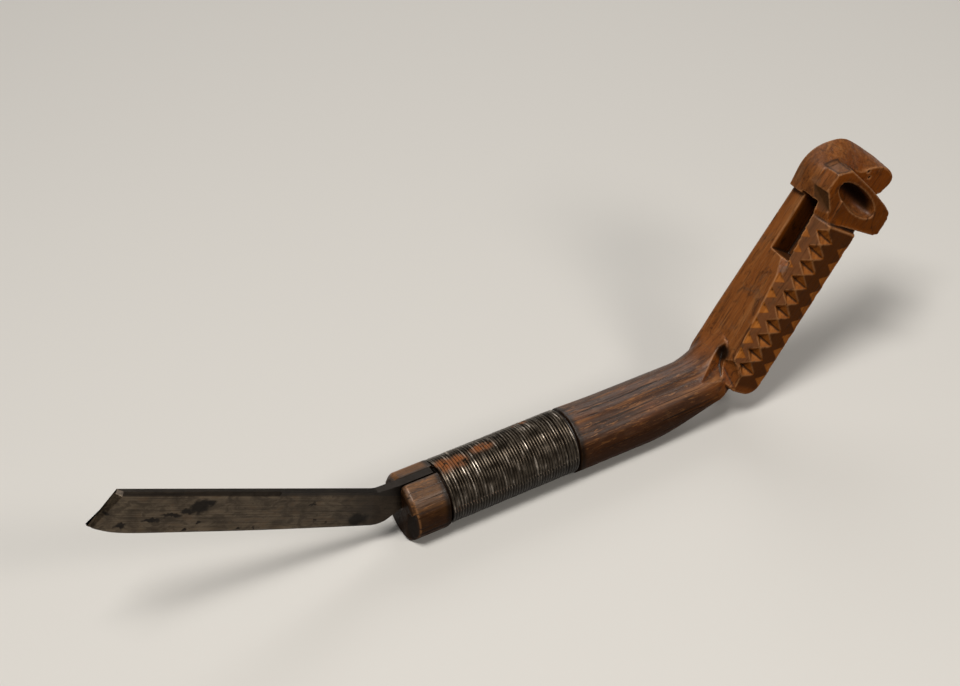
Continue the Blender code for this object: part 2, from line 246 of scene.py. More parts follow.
def makeShaft():
    r, low, belly = shaft["radius"], shaft["bellyRound"], shaft["bellyDrop"]
    nose, cut, wrap, core = shaft["noseX"], shaft["noseChamfer"], shaft["wrapEnd"], shaft["coreRadius"]
    bend, dip = shaft["bendStart"], shaft["waistDip"]
    rings = []
    for back, inset, lift in ((0, 1, 0.5), (0.3, 0.4, 0.2)):  # the worn rim, in shares of the nose's chamfer
        half = r - cut * inset
        rings.append(shaftRing(nose + cut * back, half, low - cut * inset, half, belly - cut * lift))
    for x in np.linspace(nose + cut, -wrap, shaft["noseRings"]):
        rings.append(shaftRing(x, r, low, r, belly))
    for x in (-wrap, wrap):
        rings.append(shaftRing(x, core, core, core, core, carved=0))
    for x in np.linspace(wrap, bend, shaft["waistRings"]):
        sunk = dip * min((x - wrap) / (bend - wrap) * 2, 1)
        rings.append(shaftRing(x, r - sunk, low, r, belly))
    fillet = grip["innerFillet"]
    filletRun = fillet * math.sin(grip["rise"])
    bendEnd = corner.x + shaft["bendOver"]
    for x in np.linspace(bend, filletStart + filletRun, shaft["bendRings"])[1:]:
        share = min((x - bend) / (bendEnd - bend), 1)
        past = min(max(x - filletStart, 0), filletRun)
        root = max(x - bendEnd, 0)
        top = r - dip * (1 - share) + fillet - math.sqrt(fillet**2 - past**2) - shaft["rootFall"] * root**2
        lift = shaft["bendLift"] * share**2
        half = r + (grip["width"] / 2 - grip["farChamfer"] / 2 - r) * share - shaft["rootShrink"] * root
        square = shaft["farSquare"] * past / filletRun
        carved = 1 - shaft["bendCarved"] * share
        rings.append(shaftRing(x, top, low - lift, half, belly - lift, square, carved))
    return skinRings("handle_wood", rings)


def gripHalf(along):  # half the grip's width at this height
    return (grip["width"] + (grip["topWidth"] - grip["width"]) * along / grip["length"]) / 2


def ridgeOut(along):  # the carved ridge between the chamfer and the near face
    fall = max(along - grip["ridgeTurn"], 0) / (grip["barLength"] - grip["ridgeTurn"])
    return grip["ridge"] + (grip["ridgeTop"] - grip["ridge"]) * min(fall, 1)


def stemNear(along):  # where the smooth inner face meets the carved chamfer
    return grip["stemLow"] + (grip["stemTop"] - grip["stemLow"]) * along / grip["barLength"]


def stemEdge(along):
    sunk = grip["stemRound"] * max(1 - along / grip["stemRoundLength"], 0)
    return sunk, -min(stemNear(along), gripHalf(along) - grip["stemInset"])


def gripRing(along, inset=0.0, nearSet=0.0):
    half = gripHalf(along)
    sunk, stem = stemEdge(along)
    ridge = inset + (grip["depth"] - 2 * inset) * ridgeOut(along) / grip["depth"]
    outline = [(inset, half - grip["farChamfer"]), (grip["farChamfer"] + inset, half)]
    outline += [(grip["depth"] - inset, half), (grip["depth"] - inset, nearSet - half)]
    outline += [(ridge, nearSet - half), (sunk + inset, stem)]
    return [onGrip(out, across, along) for out, across in outline]


def makeGrip():
    rings = []
    for k in range(grip["heelRings"]):
        turn = math.pi / 2 * k / grip["heelRings"]
        along = grip["heelRound"] * (1 - math.cos(turn)) - grip["heelDrop"]
        rings.append(gripRing(along, grip["heelRound"] * (1 - math.sin(turn))))
    for along in np.linspace(grip["heelRound"] - grip["heelDrop"], grip["barLength"], grip["rings"]):
        rings.append(gripRing(along))
    for along in (grip["barLength"] + grip["neckStep"], grip["length"] + grip["headRoot"]):
        rings.append(gripRing(along, nearSet=grip["neckSet"]))
    return skinRings("grip", rings)


# the head: a long tongue on the far half, a shorter lobe with a hollow on the near half
head = {
    "height": 21.1,
    "tongueLength": 34.8,
    "tongueNear": -0.5,
    "tongueCrest": 8.0,
    "tongueFar": 9.5,
    "tongueMiddle": (0.4, 0.5),  # the far face shrinks toward it
    "farBevel": 1.2,
    "dome": 1.5,
    "outlinePoints": 90,
    "domeRings": 7,
    "lobeLength": 27.0,
    "lobeNear": 11.0,
    "neckLift": 0.5,
    "pinHoles": [(17.4, 79.6), (19.3, 77.9)],  # out and along, in the tongue's near wall
    "pinHoleRadius": 0.5,
    "pinHoleReach": (-3.0, 1.6),
    "pinHoleSides": 12,
}
hollow = {
    "length": 19.5,
    "width": 8.0,
    "depth": 5.5,
    "tilt": math.radians(-15),
    "drop": 14.2,
    "front": 1.0,
    "face": 0.55,  # shares of the lobe's near size: its near face in front, and how far that slants
    "slant": 0.405,
}
hollowOut = hollow["front"] + hollow["length"] / 2
hollowAlong = grip["length"] + head["height"] - hollow["drop"]
hollowFace = -hollow["face"] * head["lobeNear"]
hollowSlant = hollow["slant"] * head["lobeNear"] / head["lobeLength"]

# outlines of the tongue in shares of its length and height, corners of the lobe in shares of its sizes
nearOutline = [
    (-0.03, 0), (-0.085, 0.38), (-0.07, 0.56), (0.06, 0.71), (0.23, 0.70), (0.41, 0.69), (0.50, 0.80),
    (0.60, 0.88), (0.73, 0.90), (0.84, 0.82), (0.87, 0.70), (0.84, 0.55), (0.80, 0.45), (0.52, 0.09),
    (0.34, 0),
]
crestOutline = [
    (-0.10, 0), (-0.13, 0.42), (-0.06, 0.71), (0.10, 0.92), (0.24, 1.0), (0.43, 0.985), (0.56, 0.955),
    (0.72, 0.92), (0.83, 0.88), (0.95, 0.83), (1.0, 0.73), (0.97, 0.57), (0.90, 0.45), (0.52, 0.09),
    (0.34, 0),
]
diamond = [(-0.10, 0.09, 0.555), (0.07, 0.09, 0.716), (0.12, -0.57, 0.72), (-0.06, -0.55, 0.578)]
lobeCorners = diamond + [
    (-0.07, -0.55, 0.294), (-0.11, 0, 0.265),  # front
    (-0.115, 0.32, 0.545), (-0.131, 0.32, 0.26),  # where it runs into the tongue
    (0.30, 0, 0.687), (0.45, -0.73, 0.61), (0.66, -0.77, 0.53), (0.88, -0.86, 0.427),  # top
    (0.98, -0.91, 0.355), (1.0, -0.955, 0.237), (0.98, -1.0, -0.024), (0.88, 0, 0.33),  # end
    (0.90, -1.0, -0.076), (0.63, -0.86, -0.095), (0.93, 0, 0.095), (0.67, 0, -0.095),  # underside
]
lobeNeck = [(0.01, -0.34), (0.15, -0.76)]

# a pointed leaf scooped out under the head, as out, across, along
leaf = {
    "edge": [(-2.9, 0.0, 69.2), (-1.3, -6.3, 69.5), (0.6, -7.0, 67.0), (2.5, -7.75, 64.2), (1.0, -5.8, 61.0),
             (-1.6, -1.6, 65.85)],
    "floor": [(-0.2, -4.5, 66.0)],
    "swing": Vector((-5.2, -3.4, -1.4)),
}


def tonguePlace(out, across, up):
    return onGrip(out * head["tongueLength"], across, grip["length"] + up * head["height"])


def lobePlace(out, across, up):
    return onGrip(out * head["lobeLength"], across * head["lobeNear"], grip["length"] + up * head["height"])


def makeTongue():
    near = smoothThrough(nearOutline, head["outlinePoints"])
    crest = smoothThrough(crestOutline, head["outlinePoints"])
    middle = np.array(head["tongueMiddle"])
    far = middle + (crest - middle) * (1 - 2 * head["farBevel"] / head["height"])
    outlines = []
    for share in np.linspace(0, 1, head["domeRings"]):
        across = head["tongueNear"] + (head["tongueCrest"] - head["tongueNear"]) * share
        rise = 1 - (1 - share) ** head["dome"]  # rounder near the crest
        outlines.append((across, near + (crest - near) * rise))
    outlines.append((head["tongueFar"], far))
    rings = [[tonguePlace(out, across, up) for out, up in outline] for across, outline in outlines]
    return skinRings("tongue", rings)


def makeLobe():
    points = [lobePlace(*share) for share in lobeCorners]
    neckAlong = grip["barLength"] + head["neckLift"]
    for out, across in lobeNeck:
        points.append(onGrip(out * head["lobeLength"], across * head["lobeNear"], neckAlong))
    return hullObject("lobe", points)


def makeHollow():
    cosTilt, sinTilt = math.cos(hollow["tilt"]), math.sin(hollow["tilt"])
    bm = bmesh.new()
    bmesh.ops.create_icosphere(bm, subdivisions=4, radius=1)
    for v in bm.verts:
        long, wide = v.co.x * hollow["length"] / 2, v.co.y * hollow["width"] / 2
        out = hollowOut + long * cosTilt - wide * sinTilt
        along = hollowAlong + long * sinTilt + wide * cosTilt
        v.co = toWorld(onGrip(out, hollowFace - hollowSlant * out + v.co.z * hollow["depth"], along))
    return meshObject("hollow", bm)


def pinHole(out, along):
    r, sides = head["pinHoleRadius"], head["pinHoleSides"]
    ring = [math.tau * k / sides for k in range(sides)]
    return [(out + r * math.cos(t), y, along + r * math.sin(t)) for y in head["pinHoleReach"] for t in ring]


# the mortise for the thumb and the cuts at the foot of the grip
mortise = {"length": 22.2, "width": 8.6, "topWidth": 6.4, "depth": 9.0, "far": 2.9, "sink": 1.0, "clear": 9.0}
mortiseTop = grip["length"] + mortise["sink"]
mortiseLow = mortiseTop - mortise["length"]


def makeMortise():
    points = []
    for along, width in ((mortiseLow, mortise["width"]), (mortiseTop, mortise["topWidth"])):
        for across in (mortise["far"], mortise["far"] - width):
            points += [(-mortise["clear"], across, along), (mortise["depth"], across, along)]
    return gripHull("mortise", points)


# corners on the wood as out, across, along; the knife then left it along "swing"
facetAlong = mortiseLow + 0.6  # just over the mortise's sill
foot = {
    "facet": [(0, -2.5, facetAlong), (0.1, -7.4, 32.6), (2.4, -6.0, facetAlong), (-4, -5, 40), (-3, -8, 40)],
    "leafEdge": [(1.9, -8.0, 4.4), (4.4, -9.6, 3.2), (6.8, -10.6, -0.2), (7.7, -10.9, -4.4),
                 (2.4, -8.7, -4.0)],
    "leafFloor": [(1.9, -5.0, 2.4), (2.4, -5.4, 0.6), (3.7, -8.3, 0.2)],
    "notchEdge": [(0.3, -2.3, 8.1), (1.2, -4.5, 6.4), (1.5, -5.5, 4.1), (2.4, -8.7, -3.6), (-4.3, -7.2, -7.3),
                  (-1.9, -4.1, -0.9), (-1.2, -2.5, 1.7), (-0.3, -1.6, 4.8)],
    "notchFloor": [(2.4, -1.9, 3.7), (2.6, -3.6, -0.1)],
    "swing": Vector((-6.0, -6.1, 2.8)),
}


def scoop(edge, floor, swing):
    return edge + [Vector(p) + swing for p in edge] + floor


def footCuts():  # a small facet under the mortise, a leaf at the foot, and the V between shaft and bar
    low = scoop(foot["leafEdge"], foot["leafFloor"], foot["swing"])
    notch = scoop(foot["notchEdge"], foot["notchFloor"], foot["swing"])
    return [gripHull("facet", foot["facet"]), gripHull("footLeaf", low), gripHull("notch", notch)]


def headLeaf():
    return gripHull("headLeaf", scoop(leaf["edge"], leaf["floor"], leaf["swing"]))


# triangular chips cut along the ridge, the outer edge and the stem
chip = {
    "count": 10,
    "start": 0.9,
    "pitch": 5.79,
    "fill": 0.97,
    "wide": 5.2,  # how far a ridge chip runs into the near face
    "wideLift": 1.5,
    "slim": 3.6,  # and into the chamfer
    "slimMost": 0.7,
    "slimDrop": 1.9,
    "valley": 2.7,  # depth under the ridge
    "valleyIn": 0.2,
    "valleyLift": 2.9,
    "outer": 4.2,
    "outerFill": 0.93,
    "outerLift": 0.3,
    "outerDepth": 0.16,
    "outerSpill": (1.0, 0.6),
    "inner": 3.6,
    "innerDrop": 1.3,
    "innerLift": 1.8,
    "innerRun": 4.9,
    "innerDeepest": 0.8,  # high up its run, so the larger facet looks up
    "innerDepth": 0.8,
    "innerSpill": (0.4, 0.2),
    "mortiseGap": 5.0,  # nearer the mortise than this, an inner chip is only coloured
    "clean": {"wide": 0.75, "slim": 0.55, "outer": 0.75, "inner": 1.0},  # how clean the cut wood shows
    "clear": {"ridge": (4, 7), "outer": (3, 5), "inner": (4, 3)},  # where the knife came from
}


def nearSpot(out, along):
    return out, -gripHalf(along), along


def chamferSpot(share, along):  # 0 on the ridge, 1 on the stem's edge
    ridge, half = ridgeOut(along), gripHalf(along)
    sunk, stem = stemEdge(along)
    return ridge + (sunk - ridge) * share, -half + (stem + half) * share, along


def chamferWidth(along):
    a, b = chamferSpot(0, along), chamferSpot(1, along)
    return math.hypot(a[0] - b[0], a[1] - b[1])


def ridgeChip(low):
    high = low + chip["pitch"] * chip["fill"]
    middle = (low + high) / 2
    ridge, half = ridgeOut(middle), gripHalf(middle)
    upper, lower = nearSpot(ridgeOut(high), high), nearSpot(ridgeOut(low), low)
    wide = nearSpot(ridgeOut(low) + chip["wide"], low + chip["wideLift"])
    slimAlong = high - chip["slimDrop"]
    slim = chamferSpot(min(chip["slim"] / chamferWidth(slimAlong), chip["slimMost"]), slimAlong)
    valley = (ridge - chip["valleyIn"], chip["valley"] - half, low + chip["valleyLift"])
    back, side = chip["clear"]["ridge"]
    clear = (ridge - back, -half - side, middle)
    marks = [(upper, lower, wide, chip["clean"]["wide"]), (upper, lower, slim, chip["clean"]["slim"])]
    return [upper, lower, wide, slim, valley, clear], marks


def outerChip(low):
    deep, half = grip["depth"], gripHalf(low)
    topAlong = low + chip["pitch"] * chip["fill"] / 2
    bottomAlong = topAlong - chip["pitch"] * chip["outerFill"]
    tip = nearSpot(deep - chip["outer"], low + chip["outerLift"])
    back, side = chip["clear"]["outer"]
    cut = [nearSpot(deep, topAlong), nearSpot(deep, bottomAlong), tip]
    cut += [(deep, chip["outerDepth"] - half, low), (deep + back, -half - side, low)]
    spillOut, spill = chip["outerSpill"]
    lowEnd, highEnd = (deep + spillOut, 0, bottomAlong - spill), (deep + spillOut, 0, topAlong + spill)
    return cut, [(highEnd, lowEnd, tip, chip["clean"]["outer"])]


def innerChip(low):
    baseAlong = low - chip["innerDrop"]
    peakAlong = baseAlong + chip["innerRun"]
    tipAlong = baseAlong + chip["innerLift"]
    base, peak = chamferSpot(1, baseAlong), chamferSpot(1, peakAlong)
    tip = chamferSpot(1 - chip["inner"] / chamferWidth(tipAlong), tipAlong)
    out, across, along = chamferSpot(1, baseAlong + chip["innerRun"] * chip["innerDeepest"])
    back, side = chip["clear"]["inner"]
    cut = [base, peak, tip, (out + chip["innerDepth"], across, along)]
    cut.append((base[0] - back, base[1] - side, tipAlong))
    spillOut, spill = chip["innerSpill"]
    lowEnd, highEnd = (base[0] - spillOut, 0, baseAlong - spill), (peak[0] - spillOut, 0, peakAlong + spill)
    return cut, [(lowEnd, highEnd, tip, chip["clean"]["inner"])]


def gripChips():
    cuts, marks = [], []
    for k in range(chip["count"]):
        low = chip["start"] + k * chip["pitch"]
        for cutChip in (ridgeChip, outerChip, innerChip):
            if cutChip is innerChip and k == 0:
                continue
            cut, marked = cutChip(low)
            marks += marked
            if cutChip is not innerChip or low < mortiseLow - chip["mortiseGap"]:
                cuts.append(cut)
    return gripHull("chips", *cuts), marks


# room for the tang, and the corner broken off the nose
tang = {
    "thickness": 3.2,
    "slack": 0.3,
    "bottom": 12.6,
    "end": (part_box("blade")[1].x - wrapMid.x) / mm,
    "clear": 5.0,
    "over": 30.0,
    "wireGap": 0.45,
    "dipRim": 2.0,  # behind the nose it is level, then dips under the wire
    "dipRun": (1.3, 0.5),
    "dipRound": 0.4,
}
noseBreak = [  # from the nose's end, across, and height over the table
    (-1, -3.2, 12.5), (-1, -1, -1), (1.3, -10.4, 17), (2.4, -11.2, 7), (1.8, -8, 0),
    (-3, -13, 9), (-2, -12, -2),
]


def makeSlot():
    half = tang["thickness"] / 2 + tang["slack"]
    xs = (shaft["noseX"] - tang["clear"], tang["end"] + tang["slack"])
    zs = (tang["bottom"] - tang["slack"], axisZ + tang["over"])
    return hullObject("tangSlot", [(x, y, z) for x in xs for y in (-half, half) for z in zs])


def noseChip():
    return hullObject("noseChip", [(shaft["noseX"] + x, y, z) for x, y, z in noseBreak])


handle = makeShaft()
for piece in (makeGrip(), makeTongue(), makeLobe()):
    combine(handle, piece, "UNION")
for piece in (makeSlot(), makeMortise(), makeHollow(), noseChip(), *footCuts(), headLeaf()):
    combine(handle, piece, "DIFFERENCE")
combine(handle, gripHull("pinHoles", *[pinHole(*place) for place in head["pinHoles"]]), "DIFFERENCE")
chips, chipMarks = gripChips()
combine(handle, chips, "DIFFERENCE", selfCut=True)
print("handle carved", len(handle.data.polygons), "faces")

wear = {
    "voxel": 0.00028,
    "soften": 0.5,
    "rounds": 1,
    "bendRounds": 140,
    "bendLevels": 8,
    "bendIn": (60, 72),  # along the grain in mm, where the rubbing starts and where it is full
    "bendOut": (94, 106),
    "bendAcross": (-1.6, 1.0),
    "bendDepth": (6, 10),
    "edgeRounds": 10,
    "edgePull": 0.6,
    "edge": (0.02, 0.11),  # standing out this far wears pale
    "corner": (0.015, 0.10),  # and sunk this far holds dirt and painted shade
}
remesh = handle.modifiers.new("grain", "REMESH")
remesh.mode = "VOXEL"
remesh.voxel_size = wear["voxel"]
soften = handle.modifiers.new("hands", "SMOOTH")
soften.factor = wear["soften"]
soften.iterations = wear["rounds"]
freeze(handle)
print("handle worn", len(handle.data.polygons), "faces")


def bendCoordinates(spots):  # along the grain, through the bend
    fillet = grip["innerFillet"]
    dx, dz = spots[:, 0] - filletStart, spots[:, 2] - (corner.z + fillet)
    angle = np.arctan2(dx, -dz)
    meanRadius = fillet + shaft["radius"]
    along = filletStart + meanRadius * np.clip(angle, 0, grip["rise"])
    depth = np.hypot(dx, dz)
    before = (angle < 0) | (dx < 0)
    along[before] = spots[before, 0]
    depth[before] = -dz[before]
    after = (angle > grip["rise"]) & ~before
    up = dx * gripAlong.x + dz * gripAlong.z
    along[after] = filletStart + meanRadius * grip["rise"] + up[after]
    depth[after] = (dx * gripOut.x + dz * gripOut.z)[after]
    return np.stack([along, spots[:, 1], depth], 1)


def insideMark(side, along, corners):  # how far inside a flat outline, in mm
    a, b, c = corners[:3]
    turn = 1 if (b[0] - a[0]) * (c[1] - a[1]) > (b[1] - a[1]) * (c[0] - a[0]) else -1
    inside = np.full(len(side), np.inf)
    for p, q in zip(corners, corners[1:] + corners[:1]):
        dx, dy = q[0] - p[0], q[1] - p[1]
        inside = np.minimum(inside, turn * (dx * (along - p[1]) - dy * (side - p[0])) / math.hypot(dx, dy))
    return inside


def between(values, low, high):
    return (values > low) & (values < high)


def awayFrom(spots, place, size=(1, 1, 1)):
    return np.linalg.norm((spots - np.array(place)) / size, axis=1)


# hands have rubbed the bend smooth on its upper, far side
spots = localSpots(handle)
grain = bendCoordinates(spots)
rubbed = ramp01(grain[:, 0], *wear["bendIn"]) * (1 - ramp01(grain[:, 0], *wear["bendOut"]))
rubbed *= ramp01(spots[:, 1], *wear["bendAcross"])
rubbed *= 1 - ramp01(grain[:, 2] - grip["innerFillet"], *wear["bendDepth"])
levels = wear["bendLevels"]
group = handle.vertex_groups.new(name="rubbed")
for level in range(1, levels + 1):
    group.add(np.flatnonzero(np.round(rubbed * levels) == level).tolist(), level / levels, "REPLACE")
rub = handle.modifiers.new("rub", "SMOOTH")
rub.factor = wear["soften"]
rub.iterations = wear["bendRounds"]
rub.vertex_group = "rubbed"
freeze(handle)
handle.vertex_groups.clear()
handle.data.shade_smooth()

spots = localSpots(handle)
count = len(spots)
grain = bendCoordinates(spots)
paintVector(handle, "grain", grain * mm)
rel = spots - np.array(corner)
outAt = rel[:, 0] * gripOut.x + rel[:, 2] * gripOut.z
alongAt = rel[:, 0] * gripAlong.x + rel[:, 2] * gripAlong.z
acrossAt = spots[:, 1]

# chips show cleaner wood, and the flats between them are dark with handling
carving = {  # in mm; of two numbers, the mask starts at the first and is full at the second
    "along": (-4, 61),  # the carved stretch, from and to
    "out": (-1, 20),
    "stemGap": 0.15,
    "soft": (-0.05, 0.25),
    "skin": 0.35,
    "cleared": 0.5,
    "flatsIn": (-4, -2),
    "flatsOut": (59, 60.5),
    "chamferIn": (2, 4),
    "chamferOut": 7.5,
    "chamferStem": -3.5,
}
carved = (acrossAt < carving["stemGap"] - stemNear(alongAt)) & between(alongAt, *carving["along"])
carved &= between(outAt, *carving["out"])
fresh = np.zeros(count)
for *corners, clean in chipMarks:
    outline = [(p[0], p[2]) for p in corners]
    mark = ramp01(insideMark(outAt[carved], alongAt[carved], outline), *carving["soft"]) * clean
    fresh[carved] = np.maximum(fresh[carved], mark)
paint(handle, "freshCut", fresh)
uncut = carved * (1 - np.minimum(fresh / carving["cleared"], 1))
onSkin = acrossAt < carving["skin"] - gripHalf(alongAt)
flats = ramp01(alongAt, *carving["flatsIn"]) * (1 - ramp01(alongAt, *carving["flatsOut"]))
paint(handle, "flats", flats * uncut * onSkin)
onChamfer = ~onSkin & (outAt < carving["chamferOut"]) & (acrossAt < carving["chamferStem"])
paint(handle, "chamferFlats", ramp01(alongAt, *carving["chamferIn"]) * uncut * onChamfer)

# how far each spot stands out from the wood round it
links = np.empty(len(handle.data.edges) * 2, dtype=np.int32)
handle.data.edges.foreach_get("vertices", links)
one, two = links[0::2], links[1::2]
neighbours = np.maximum(np.bincount(links, minlength=count), 1)[:, None]
levelled = spots.copy()
for step in range(wear["edgeRounds"]):
    sums = []
    for column in levelled.T:
        sums.append(np.bincount(one, column[two], count) + np.bincount(two, column[one], count))
    levelled = levelled * (1 - wear["edgePull"]) + np.stack(sums, 1) / neighbours * wear["edgePull"]
normals = np.empty(count * 3)
handle.data.vertices.foreach_get("normal", normals)
normals = normals.reshape(-1, 3)
stand = ((spots - levelled) * normals).sum(1)
paint(handle, "wornEdge", ramp01(stand, *wear["edge"]))
# sunk spots: dirt and painted shade in the creases
paint(handle, "corner", ramp01(-stand, *wear["corner"]))
print("handle edges found", int((stand > wear["edge"][1]).sum()), "spots")

# which way the wood faces, and which part of the handle it is; the front faces, the belly and the leaf under
# the head take painted shade from these
facing = {  # starts and full, as in carving
    "near": (0.45, 0.85),
    "nearFrom": (-12, 0),
    "up": (0.1, 0.85),
    "belly": (-0.7, 0.15),
    "bellyTo": (70, 95),
    "grip": (55, 105),
    "nose": (-0.5, 0.5),
    "leafSoft": (-0.1, 0.3),
    "leafOut": 3.0,
    "leafFade": (61.0, 65.5),
}
facesNear = ramp01(-normals[:, 1], *facing["near"])
# faces turned to the front (-y) get painted warm shade
paint(handle, "nearShade", facesNear * ramp01(alongAt, *facing["nearFrom"]))
paint(handle, "upSide", ramp01(normals[:, 2], *facing["up"]))
# the underside: painted shade
bellyShade = ramp01(-normals[:, 2], *facing["belly"]) * (1 - ramp01(grain[:, 0], *facing["bellyTo"]))
paint(handle, "belly", bellyShade)
paint(handle, "gripShare", ramp01(grain[:, 0], *facing["grip"]))
paint(handle, "noseShare", 1 - ramp01(spots[:, 0] + shaft["wrapEnd"], *facing["nose"]))
# the leaf under the head's overhang: painted shade
leafIn = insideMark(acrossAt, alongAt, [p[1:] for p in leaf["edge"]])
inLeaf = ramp01(leafIn, *facing["leafSoft"]) * (outAt < facing["leafOut"])
paint(handle, "shadedLeaf", inLeaf * ramp01(alongAt, *facing["leafFade"]))

# painted shade in the mortise, the hollow (darkest on its upper side), the foot notch and on the lobe's near
# faces; dirt beside the binding; dirt and painted shade in the nose's broken corner; darker round the tang
# slot and on the nose's end face
grimeAndShadeAt = {  # starts and full, as in carving
    "mortise": (0.6, 3.0),
    "mortiseEdge": 0.5,
    "mortiseShare": 0.6,
    "hollow": (0.6, 3.2),
    "hollowEdge": 1.05,
    "hollowFar": -0.8,
    "hollowUpper": (-2.0, 1.0),
    "hollowLeast": 0.25,
    "wrap": (0.6, 2.6),
    "foot": (2.0, -3.0, 4.2),
    "footFade": (1.8, 4.0),
    "slotEdge": 0.9,
    "slotShare": 0.85,
    "end": (0.1, 1.2),
    "endShare": 0.75,
    "nose": (0.8, -7.5, 8.0),
    "noseSize": (1.6, 4, 9),
    "noseFade": (0.6, 1.1),
    "lobeAlong": (61, 64),
    "lobeAcross": (5.5, 7.5),
    "lobeShare": 0.42,
}
edge = grimeAndShadeAt["mortiseEdge"]
# painted shade in the mortise
inMortise = ramp01(outAt, *grimeAndShadeAt["mortise"]) * (outAt < mortise["depth"] + edge) * grimeAndShadeAt["mortiseShare"]
inMortise *= between(acrossAt, mortise["far"] - mortise["width"] - edge, mortise["far"] + edge)
inMortise *= between(alongAt, mortiseLow - edge, mortiseTop + edge)
hollowRise = alongAt - hollowAlong - (outAt - hollowOut) * math.tan(hollow["tilt"])
hollowAway = np.hypot((outAt - hollowOut) / (hollow["length"] / 2), hollowRise / (hollow["width"] / 2))
inHollow = ramp01(acrossAt - hollowFace + hollowSlant * outAt, *grimeAndShadeAt["hollow"])
inHollow *= (hollowAway < grimeAndShadeAt["hollowEdge"]) * (acrossAt < grimeAndShadeAt["hollowFar"])
least = grimeAndShadeAt["hollowLeast"]
# the hollow's painted shade is darkest on its upper side
inHollow *= least + (1 - least) * ramp01(hollowRise, *grimeAndShadeAt["hollowUpper"])
byWrap = 1 - ramp01(np.abs(spots[:, 0]) - shaft["wrapEnd"], *grimeAndShadeAt["wrap"])
# painted shade in the foot notch's undercut
inFoot = 1 - ramp01(awayFrom(spots, onGrip(*grimeAndShadeAt["foot"])), *grimeAndShadeAt["footFade"])
inSlot = (np.abs(acrossAt) < tang["thickness"] / 2 + grimeAndShadeAt["slotEdge"]) * grimeAndShadeAt["slotShare"]
inSlot *= spots[:, 0] < -shaft["wrapEnd"]
fromNose = spots - np.array((shaft["noseX"], 0, 0))
onEnd = (1 - ramp01(fromNose[:, 0], *grimeAndShadeAt["end"])) * grimeAndShadeAt["endShare"]
# dirt and painted shade in the nose's broken corner
onNose = 1 - ramp01(awayFrom(fromNose, grimeAndShadeAt["nose"], grimeAndShadeAt["noseSize"]), *grimeAndShadeAt["noseFade"])
# painted shade on the lobe's near faces
onLobe = ramp01(alongAt, *grimeAndShadeAt["lobeAlong"]) * ramp01(-acrossAt, *grimeAndShadeAt["lobeAcross"])
onLobe *= facesNear * grimeAndShadeAt["lobeShare"]
paint(handle, "grimeAndShade", np.max([inMortise, inHollow, byWrap, inFoot, inSlot, onEnd, onNose, onLobe], axis=0))

# the diamond flat on top of the lobe, with a darker rim
diamondLook = {"reach": 0.9, "flat": (-0.1, 0.3), "rimIn": (-0.1, 0.2), "rimOut": (0.5, 1.2)}
quad = [np.array(lobePlace(*share)) for share in diamond]
middle = sum(quad) / len(quad)
normal = np.cross(quad[2] - quad[0], quad[3] - quad[1])
normal /= np.linalg.norm(normal)
onFlat = np.abs((spots - middle) @ normal) < diamondLook["reach"]
edgeIn = np.full(count, np.inf)
for p, q in zip(quad, quad[1:] + quad[:1]):
    inward = np.cross(normal, q - p)
    inward *= np.sign(inward @ (middle - p)) / np.linalg.norm(inward)
    edgeIn = np.minimum(edgeIn, (spots - p) @ inward)
rim = ramp01(edgeIn, *diamondLook["rimIn"]) * (1 - ramp01(edgeIn, *diamondLook["rimOut"]))
paint(handle, "diamond", ramp01(edgeIn, *diamondLook["flat"]) * onFlat)
paint(handle, "diamondFrame", rim * onFlat)
print("handle painted")

# the blade, one forging: along from the heel and down from the spine
bladeForm = {
    "length": 88.9,
    "rise": math.radians(26.4),
    "spine": 2.6,
    "edge": 0.3,
    "bend": 8.7,
    "heelLift": 0.8,
    "edgeLine": [(95.0, 12.7), (91, 14.0), (86, 15.0), (78.6, 15.4), (60, 15.3), (39.4, 15.1), (15, 14.5),
                 (-4.7, 13.85)],
    "edgePoints": 400,
    "chamfer": 1.2,  # along the near side of the spine, from the end as far as chamferEnd
    "chamferSlope": 0.75,
    "chamferEnd": 34.5,
    "nearRim": 0.05,
    "farRim": (0.2, 0.25),
    "endBevel": 1.5,
    "endCut": 1.1,
    "hollowLow": 1.2,
    "faceRows": (0.25, 0.45, 0.65, 0.8, 0.9),
    "edgeBevel": 0.9,
    "edgeSwell": 0.16,
    "stations": 170,
    "crowding": 1.15,  # stations stand closer toward the end
    "neckStations": 60,
    "neckTop": [(1.6, -0.55), (4.5, 0.3)],  # from the heel; the second height is from the tang's top
    "neckLow": [(2.2, 0.1), (5.2, 1.1)],
    "neckSquare": 1.6,
    "sharp": math.radians(14),
    "darkNeck": (-16, 4),
}
bladeAlong = Vector((-math.cos(bladeForm["rise"]), 0, math.sin(bladeForm["rise"])))
bladeDown = Vector((-math.sin(bladeForm["rise"]), 0, -math.cos(bladeForm["rise"])))
bladeHeel = Vector((shaft["noseX"] - bladeForm["bend"], 0, axisZ + shaft["radius"] + bladeForm["heelLift"]))
tangTop = axisZ + shaft["radius"] - tang["slack"]
tangUnder = axisZ + shaft["coreRadius"] - tang["wireGap"]  # where the wire crosses it


